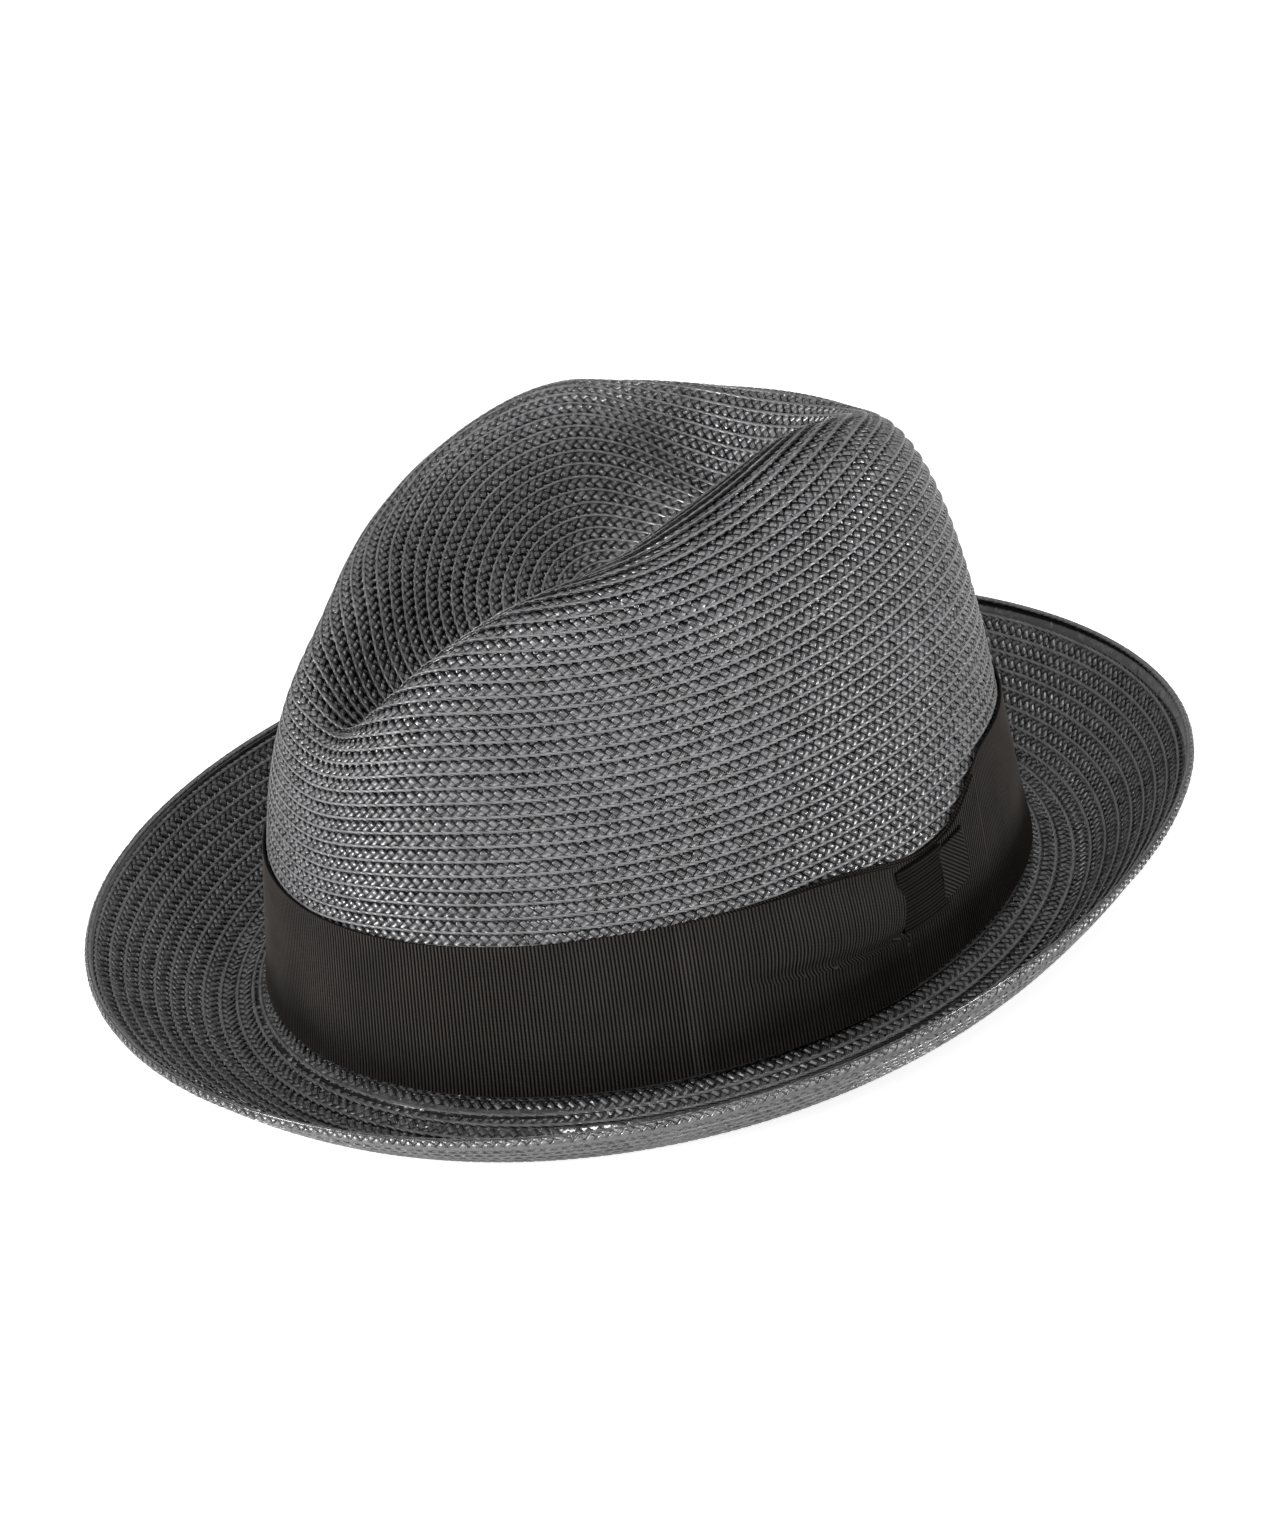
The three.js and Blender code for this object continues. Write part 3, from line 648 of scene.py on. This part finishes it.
def make_knot():
    """The short ribbon round the bow's middle: its ribs lie along the band."""
    first, last = length_at(KNOT_FROM), length_at(KNOT_TO)
    roll = 0.1

    def shape(along, up):
        length = first + (last - first) * along + 0.25 * np.sin(up * math.pi * 5)
        slope = 0.6 * along
        inner = np.clip((up - roll) / (1 - 2 * roll), 0, 1)
        height = KNOT_FOOT + KNOT_TALL * inner + slope
        under = np.where(up < roll, 1 - up / roll, np.where(up > 1 - roll, 1 - (1 - up) / roll, 0))
        height = height + np.where(up < 0.5, 1, -1) * 0.5 * under ** 2
        wave = 1.2 * rib_wave(inner * KNOT_RIBS * RIB * 1.06)
        sides = bump(along, 0, 0.06) + bump(along, 1, 0.06)
        out = BAND_OUT + KNOT_OUT + wave + 0.3 * np.sin(math.pi * along) - 1.6 * under - 0.3 * sides
        # The knot's grooves get a weaker painted shade
        return wall(angle_at(length), height, out), np.stack([height, length], -1), wave * 0.55

    return ribbon_sheet("bow_knot_cloth", 24, 120, shape)


def make_tacking_stitches():
    """The line of small stitches below the knot that tacks down the ribbon's end."""
    stitches = []
    for stitch in range(TACKING_STITCHES):
        foot = STITCH_FOOT + STITCH_PITCH * stitch
        height = np.array([foot, foot + STITCH_LENGTH])
        degrees = TACKED_AT + 0.03 * stitch
        line = wall(np.radians([degrees, degrees + 0.1]), height, [BAND_OUT + STITCH_OUT] * 2) * MM + OPENING
        low, high = Vector(line[0]), Vector(line[1])
        bpy.ops.object.select_all(action="DESELECT")
        turned = (high - low).to_track_quat("Z", "Y").to_euler()
        bpy.ops.mesh.primitive_cylinder_add(vertices=8, radius=STITCH_RADIUS * MM, end_fill_type="TRIFAN",
                                            depth=(high - low).length, location=(low + high) / 2,
                                            rotation=turned)
        stitches.append(bpy.context.object)
    for stitch in stitches:
        stitch.select_set(True)
    bpy.context.view_layer.objects.active = stitches[0]
    bpy.ops.object.join()
    bpy.ops.object.transform_apply(location=True, rotation=True, scale=True)
    bpy.ops.object.shade_smooth()
    piece = bpy.context.object
    piece.name = "bow_tacking_stitches"
    return piece


# ---------------------------------------------------------------- inside the head opening

SWEAT_IN, SWEAT_HEIGHT, SWEAT_THICKNESS = 2.35, 31, 0.6
REED_IN, REED_HEIGHT, HEM_RADIUS = 4.3, 1.2, 1.6
RIPPLE, RIPPLES = 0.12, 11
TAPE_DEGREES, TAPE_WIDTH, TAPE_FOOT, TAPE_TALL, TAPE_IN, TAPE_THICKNESS = 6.2, 9, 8, 21, 0.75, 0.4
PUCKER, PUCKERS = 0.12, 9


def sweat_profile(share):
    """Distance in from the wall and height above the break line, from the free edge down round the reed."""
    stations = [(SWEAT_IN, SWEAT_HEIGHT), (SWEAT_IN + 0.1, 16), (SWEAT_IN + 0.2, 5)]
    for turn in np.linspace(math.pi, TURN + 0.35, 12):
        stations.append((REED_IN + HEM_RADIUS * math.cos(turn), REED_HEIGHT + HEM_RADIUS * math.sin(turn)))
    stations.append((REED_IN + 0.4, 5.8))
    stations = np.array(stations)
    lengths = np.concatenate([[0], np.cumsum(np.linalg.norm(np.diff(stations, axis=0), axis=1))])
    wanted = share * lengths[-1]
    return np.interp(wanted, lengths, stations[:, 0]), np.interp(wanted, lengths, stations[:, 1]), wanted


def make_sweatband():
    def shape(along, up):
        angle = np.where(along > 0.99999, 0, along * TURN) + math.pi
        inwards, height, cloth = sweat_profile(1 - up)
        ripple = RIPPLE * np.sin(angle * RIPPLES) * np.clip((height - 10) / 20, 0, 1)
        return wall(angle, height, -inwards - ripple), np.stack([along * GIRTH[-1], cloth], -1), 0 * along

    return ribbon_sheet("sweatband_cloth", 360, 48, shape, SWEAT_THICKNESS, closed=True)


def make_joint_tape():
    def shape(along, up):
        degrees = 180 + (along - 0.5) * TAPE_DEGREES
        height = TAPE_FOOT + TAPE_TALL * up
        pucker = PUCKER * np.abs(np.sin(up * math.pi * PUCKERS)) * np.sin(math.pi * along)
        out = -SWEAT_IN - SWEAT_THICKNESS - TAPE_IN - pucker
        return wall(np.radians(degrees), height, out), np.stack([along * TAPE_WIDTH, height], -1), 0 * along

    return ribbon_sheet("sweatband_joint_tape", 16, 72, shape, TAPE_THICKNESS)


# ---------------------------------------------------------------- finishes


def group_input(group, name, kind, value):
    socket = group.interface.new_socket(name, in_out="INPUT", socket_type=kind)
    socket.default_value = value


def wire(tree, kind, settings=None, **inputs):
    """Adds a node, sets it up and links or fills its inputs by name."""
    node = tree.nodes.new(kind)
    for key, value in (settings or {}).items():
        setattr(node, key, value)
    for key, value in inputs.items():
        socket = node.inputs[int(key[1:])] if key[1:].isdigit() else node.inputs[key.replace("_", " ")]
        if isinstance(value, bpy.types.NodeSocket):
            tree.links.new(value, socket)
        else:
            socket.default_value = value
    return node


def fibre_lines():
    """Fine lines along a strand or thread: a mask for its colour and a height for its relief."""
    group = bpy.data.node_groups.new("fibre_lines", "ShaderNodeTree")
    group_input(group, "Vector", "NodeSocketVector", (0, 0, 0))
    group_input(group, "Lines", "NodeSocketFloat", 5.0)
    group_input(group, "Waver", "NodeSocketFloat", 0.4)
    group.interface.new_socket("Mask", in_out="OUTPUT", socket_type="NodeSocketFloat")
    group.interface.new_socket("Height", in_out="OUTPUT", socket_type="NodeSocketFloat")
    start, end = group.nodes.new("NodeGroupInput"), group.nodes.new("NodeGroupOutput")
    parts = wire(group, "ShaderNodeSeparateXYZ", Vector=start.outputs["Vector"])
    drift = wire(group, "ShaderNodeTexNoise", Vector=start.outputs["Vector"], Scale=0.7, Detail=2.0)
    waver = wire(group, "ShaderNodeMath", {"operation": "MULTIPLY"}, _0=drift.outputs["Fac"],
                 _1=start.outputs["Waver"])
    place = wire(group, "ShaderNodeMath", {"operation": "ADD"}, _0=parts.outputs["Y"], _1=waver.outputs[0])
    line = wire(group, "ShaderNodeMath", {"operation": "MULTIPLY"}, _0=place.outputs[0],
                _1=start.outputs["Lines"])
    wave = wire(group, "ShaderNodeMath", {"operation": "SINE"}, _0=line.outputs[0])
    height = wire(group, "ShaderNodeMath", {"operation": "MULTIPLY_ADD"}, _0=wave.outputs[0],
                  _1=0.5, _2=0.5)
    grain = wire(group, "ShaderNodeTexNoise", Vector=start.outputs["Vector"], Scale=3.0, Detail=3.0)
    mask = wire(group, "ShaderNodeMath", {"operation": "MULTIPLY"}, _0=height.outputs[0],
                _1=grain.outputs["Fac"])
    group.links.new(mask.outputs[0], end.inputs["Mask"])
    group.links.new(height.outputs[0], end.inputs["Height"])
    return group


def shade_drift():
    """Slow unevenness of a dyed surface, read from the object's own place."""
    group = bpy.data.node_groups.new("shade_drift", "ShaderNodeTree")
    group_input(group, "Scale", "NodeSocketFloat", 30.0)
    group.interface.new_socket("Mask", in_out="OUTPUT", socket_type="NodeSocketFloat")
    start, end = group.nodes.new("NodeGroupInput"), group.nodes.new("NodeGroupOutput")
    place = group.nodes.new("ShaderNodeTexCoord")
    noise = wire(group, "ShaderNodeTexNoise", Vector=place.outputs["Object"], Scale=start.outputs["Scale"],
                 Detail=3.0)
    group.links.new(noise.outputs["Fac"], end.inputs["Mask"])
    return group


FIBRES = fibre_lines()
DRIFT = shade_drift()


def new_material(name):
    material = bpy.data.materials.new(name)
    material.use_nodes = True
    tree = material.node_tree
    return material, tree, tree.nodes["Principled BSDF"]


def blend_colours(tree, low, high, share):
    node = wire(tree, "ShaderNodeMix", {"data_type": "RGBA"})
    node.inputs["A"].default_value = (*low, 1)
    node.inputs["B"].default_value = (*high, 1)
    tree.links.new(share, node.inputs["Factor"])
    return [socket for socket in node.outputs if socket.type == "RGBA"][0]


def plait_finish():
    """Dyed, flat, slightly shiny strands that differ a little from one to the next, with painted shade where
    they lie between or under each other and a painted highlight on their turned-back edges.
    """
    material, tree, shader = new_material("plaited_strands")
    tone_and_painted_light = wire(tree, "ShaderNodeAttribute", {"attribute_name": "tone_and_painted_light"})
    strand = wire(tree, "ShaderNodeUVMap", {"uv_map": "strand"})
    fibres = wire(tree, "ShaderNodeGroup", {"node_tree": FIBRES}, Vector=strand.outputs["UV"], Lines=11.0,
                  Waver=0.5)
    drift = wire(tree, "ShaderNodeGroup", {"node_tree": DRIFT}, Scale=40.0)
    # Random tone per strand with its painted shade and painted highlight, mixed with the fibres and the
    # drift
    mixed = wire(tree, "ShaderNodeMath", {"operation": "MULTIPLY_ADD"}, _0=tone_and_painted_light.outputs["Fac"], _1=0.5,
                 _2=fibres.outputs["Mask"])
    mixed = wire(tree, "ShaderNodeMath", {"operation": "MULTIPLY_ADD", "use_clamp": True},
                 _0=drift.outputs["Mask"], _1=0.3, _2=mixed.outputs[0])
    colour = blend_colours(tree, STRAND_DARK, STRAND_LIGHT, mixed.outputs[0])
    tree.links.new(colour, shader.inputs["Base Color"])
    rough = wire(tree, "ShaderNodeMapRange", Value=tone_and_painted_light.outputs["Fac"], To_Min=0.17, To_Max=0.36)
    tree.links.new(rough.outputs["Result"], shader.inputs["Roughness"])
    bumps = wire(tree, "ShaderNodeBump", Strength=0.5, Distance=0.00012, Height=fibres.outputs["Height"])
    tree.links.new(bumps.outputs["Normal"], shader.inputs["Normal"])
    shader.inputs["Specular IOR Level"].default_value = 0.9
    shader.inputs["Coat Weight"].default_value = 0.6
    shader.inputs["Coat Roughness"].default_value = 0.12
    return material


def ribbon_finish():
    """Ribbed black ribbon: fine threads run across the ribs, and the grooves between ribs are painted dark
    as shade.
    """
    material, tree, shader = new_material("ribbed_ribbon")
    cloth = wire(tree, "ShaderNodeUVMap", {"uv_map": "cloth"})
    threads = wire(tree, "ShaderNodeGroup", {"node_tree": FIBRES}, Vector=cloth.outputs["UV"], Lines=18.0,
                   Waver=0.15)
    drift = wire(tree, "ShaderNodeGroup", {"node_tree": DRIFT}, Scale=60.0)
    share = wire(tree, "ShaderNodeMath", {"operation": "MULTIPLY_ADD"},
                 _0=drift.outputs["Mask"], _1=0.6, _2=threads.outputs["Mask"])
    # Painted shade in the grooves between ribs; only the crests take the lighter colour
    rib = wire(tree, "ShaderNodeAttribute", {"attribute_name": "rib"})
    crest = wire(tree, "ShaderNodeMath", {"operation": "POWER"}, _0=rib.outputs["Fac"], _1=3.2)
    share = wire(tree, "ShaderNodeMath", {"operation": "MULTIPLY", "use_clamp": True},
                 _0=share.outputs[0], _1=crest.outputs[0])
    colour = blend_colours(tree, RIBBON_DARK, RIBBON_LIGHT, share.outputs[0])
    tree.links.new(colour, shader.inputs["Base Color"])
    bumps = wire(tree, "ShaderNodeBump", Strength=0.35, Distance=0.0001, Height=threads.outputs["Height"])
    tree.links.new(bumps.outputs["Normal"], shader.inputs["Normal"])
    shader.inputs["Roughness"].default_value = 0.7
    shader.inputs["Specular IOR Level"].default_value = 0.08
    return material


def sweatband_finish():
    """Black cotton tape with a fine twill."""
    material, tree, shader = new_material("sweatband_tape")
    cloth = wire(tree, "ShaderNodeUVMap", {"uv_map": "cloth"})
    slanted = wire(tree, "ShaderNodeMapping", Vector=cloth.outputs["UV"],
                   Rotation=(0, 0, math.radians(52)))
    twill = wire(tree, "ShaderNodeGroup", {"node_tree": FIBRES}, Vector=slanted.outputs["Vector"], Lines=8.0,
                 Waver=0.2)
    drift = wire(tree, "ShaderNodeGroup", {"node_tree": DRIFT}, Scale=50.0)
    share = wire(tree, "ShaderNodeMath", {"operation": "MULTIPLY_ADD", "use_clamp": True},
                 _0=drift.outputs["Mask"], _1=0.4, _2=twill.outputs["Mask"])
    colour = blend_colours(tree, (0.010, 0.010, 0.011), (0.030, 0.029, 0.030), share.outputs[0])
    tree.links.new(colour, shader.inputs["Base Color"])
    bumps = wire(tree, "ShaderNodeBump", Strength=0.6, Distance=0.00015, Height=twill.outputs["Height"])
    tree.links.new(bumps.outputs["Normal"], shader.inputs["Normal"])
    shader.inputs["Roughness"].default_value = 0.75
    return material


def thread_finish(name, dark, light, roughness):
    """Twisted thread, or a smooth reed with faint drawn lines."""
    material, tree, shader = new_material(name)
    place = wire(tree, "ShaderNodeTexCoord")
    scaled = wire(tree, "ShaderNodeMapping", Vector=place.outputs["Object"], Scale=(900, 900, 900),
                  Rotation=(0.4, 0.5, 0.6))
    twist = wire(tree, "ShaderNodeGroup", {"node_tree": FIBRES}, Vector=scaled.outputs["Vector"], Lines=3.0,
                 Waver=0.3)
    colour = blend_colours(tree, dark, light, twist.outputs["Mask"])
    tree.links.new(colour, shader.inputs["Base Color"])
    bumps = wire(tree, "ShaderNodeBump", Strength=0.4, Distance=0.0001, Height=twist.outputs["Height"])
    tree.links.new(bumps.outputs["Normal"], shader.inputs["Normal"])
    shader.inputs["Roughness"].default_value = roughness
    return material


# ---------------------------------------------------------------- building

# The darkest colours are reached where painted shade falls between strands and in the ribbon's grooves
STRAND_DARK, STRAND_LIGHT = (0.008, 0.008, 0.0085), (0.140, 0.1385, 0.144)
RIBBON_DARK, RIBBON_LIGHT = (0.0010, 0.0008, 0.0007), (0.088, 0.078, 0.071)


def settle(piece, finish, slot, *nodes):
    piece.data.materials.clear()
    piece.data.materials.append(finish)
    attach(piece, "root")
    if nodes:
        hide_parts(*nodes)


strands = plait_finish()
for part in sewn_plait("crown_plait", crown_surface, 0.75, CROWN_TURNS, 0.0, 200, 11, CROWN_PLY):
    settle(part, strands, "braid", "crown")
for part in sewn_plait("brim_plait", brim_surface, 0.0, BRIM_TURNS, 1.0, 160, 31, BRIM_PLY):
    settle(part, strands, "braid", "brim")
for part in sewn_plait("under_plait", under_surface, 0.0, BRIM_TURNS, 1.0, 40, 51, UNDER_PLY, 0):
    settle(part, strands, "braid", "brim")
settle(lip_plait(), strands, "braid", "brim_edge")

ribbon = ribbon_finish()
band = make_band()
settle(band, ribbon, "ribbon", "hat_band")
overlap = make_overlap()
settle(overlap, ribbon, "ribbon", "band_overlap")
front_loop = make_front_loop()
settle(front_loop, ribbon, "ribbon", "bow_front_loop")
rear_loop = make_rear_loop()
settle(rear_loop, ribbon, "ribbon", "bow_rear_loop")
knot = make_knot()
settle(knot, ribbon, "ribbon", "bow_knot")
black_thread = thread_finish("black_thread", (0.015, 0.014, 0.014), (0.06, 0.056, 0.052), 0.6)
settle(make_tacking_stitches(), black_thread, "thread")

lining = sweatband_finish()
sweatband = make_sweatband()
settle(sweatband, lining, "lining", "sweatband")
tape = make_joint_tape()
settle(tape, lining, "lining", "sweatband_joint")
pale_reed = thread_finish("reed", (0.42, 0.40, 0.35), (0.62, 0.60, 0.54), 0.35)
for node, finish in (("sweatband_reed", pale_reed), ("reed_stitching", black_thread)):
    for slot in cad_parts[node].material_slots:
        slot.material = finish

# ---------------------------------------------------------------- floor, light and camera

FLOOR_GLOW, WORLD_LIGHT, WORLD_GLOW = 0.7, 0.42, 0.6
# Degrees round from the front, up and rolled; then metres from the point it faces, which is in
# millimetres above the break line; then radians turned aside from that point
CAMERA_AZIMUTH, CAMERA_ELEVATION, CAMERA_ROLL = 50, 26.4, -6.2
CAMERA_DISTANCE, CAMERA_AIM, CAMERA_LENS = 0.841, 40, 79.1
CAMERA_TURN_RIGHT, CAMERA_TURN_DOWN = 0.0002371, 0.0055424
# Name, place, the point it faces, width and power
LIGHTS = (
    ("key", (-0.35, -1.7, 0.85), (0, 0, 0.06), 0.35, 12),
    ("low_front", (-0.5, -1.65, 0.25), (0, 0, 0.06), 0.35, 28),
    ("top", (0, 0.3, 1.9), (0, 0, 0.06), 0.5, 6),
    ("fill", (1.0, -1.0, 1.3), (0, 0, 0.06), 0.35, 8),
    ("low_right", (1.3, 0.75, 0.25), (0, 0, 0.05), 0.3, 14),
    ("low_side", (1.5, -0.3, 0.3), (0, 0, 0.05), 0.3, 6),
)


def make_floor():
    bpy.ops.object.select_all(action="DESELECT")
    bpy.ops.mesh.primitive_plane_add(size=12, location=(0, 0, -0.0003))
    floor = bpy.context.object
    floor.name = "floor"
    material, tree, shader = new_material("pale_floor")
    shader.inputs["Base Color"].default_value = (0.8, 0.8, 0.8, 1)
    shader.inputs["Roughness"].default_value = 0.9
    path = wire(tree, "ShaderNodeLightPath")
    glow = wire(tree, "ShaderNodeMath", {"operation": "MULTIPLY"}, _0=path.outputs["Is Camera Ray"],
                _1=FLOOR_GLOW)
    shader.inputs["Emission Color"].default_value = (1, 1, 1, 1)
    tree.links.new(glow.outputs[0], shader.inputs["Emission Strength"])
    floor.data.materials.append(material)


def make_light(name, place, aim, size, power):
    light = bpy.data.lights.new(name, "AREA")
    light.size = size
    light.energy = power
    holder = bpy.data.objects.new(name, light)
    holder.location = place
    holder.rotation_euler = (Vector(place) - Vector(aim)).to_track_quat("Z", "Y").to_euler()
    bpy.context.scene.collection.objects.link(holder)


def make_camera():
    azimuth, elevation, roll = map(math.radians, (CAMERA_AZIMUTH, CAMERA_ELEVATION, CAMERA_ROLL))
    back = Vector((math.sin(azimuth) * math.cos(elevation), -math.cos(azimuth) * math.cos(elevation),
                   math.sin(elevation)))
    right = Vector((math.cos(azimuth), math.sin(azimuth), 0))
    upward = back.cross(right)
    level = right * math.cos(roll) + upward * math.sin(roll)
    rise = upward * math.cos(roll) - right * math.sin(roll)
    centre = Vector(OPENING) + Vector((0, 0, (BREAK_HEIGHT + CAMERA_AIM) * MM))
    facing = (back - level * CAMERA_TURN_RIGHT + rise * CAMERA_TURN_DOWN).normalized()
    level = (level - facing * level.dot(facing)).normalized()
    rise = facing.cross(level)
    camera = bpy.data.cameras.new("camera")
    camera.lens = CAMERA_LENS
    camera.sensor_width = 36
    camera.clip_start = 0.01
    holder = bpy.data.objects.new("camera", camera)
    turned = Matrix((level, rise, facing)).transposed().to_4x4()
    holder.matrix_world = Matrix.Translation(centre + back * CAMERA_DISTANCE) @ turned
    bpy.context.scene.collection.objects.link(holder)
    bpy.context.scene.camera = holder


def make_world():
    world = bpy.data.worlds.new("studio")
    world.use_nodes = True
    sky = world.node_tree.nodes["Background"]
    sky.inputs["Color"].default_value = (1, 1, 1, 1)
    path = wire(world.node_tree, "ShaderNodeLightPath")
    glow = wire(world.node_tree, "ShaderNodeMath", {"operation": "MULTIPLY_ADD"},
                _0=path.outputs["Is Camera Ray"], _1=WORLD_GLOW, _2=WORLD_LIGHT)
    world.node_tree.links.new(glow.outputs[0], sky.inputs["Strength"])
    bpy.context.scene.world = world
    bpy.context.scene.view_settings.view_transform = "Standard"


make_floor()
make_world()
for light in LIGHTS:
    make_light(*light)
make_camera()
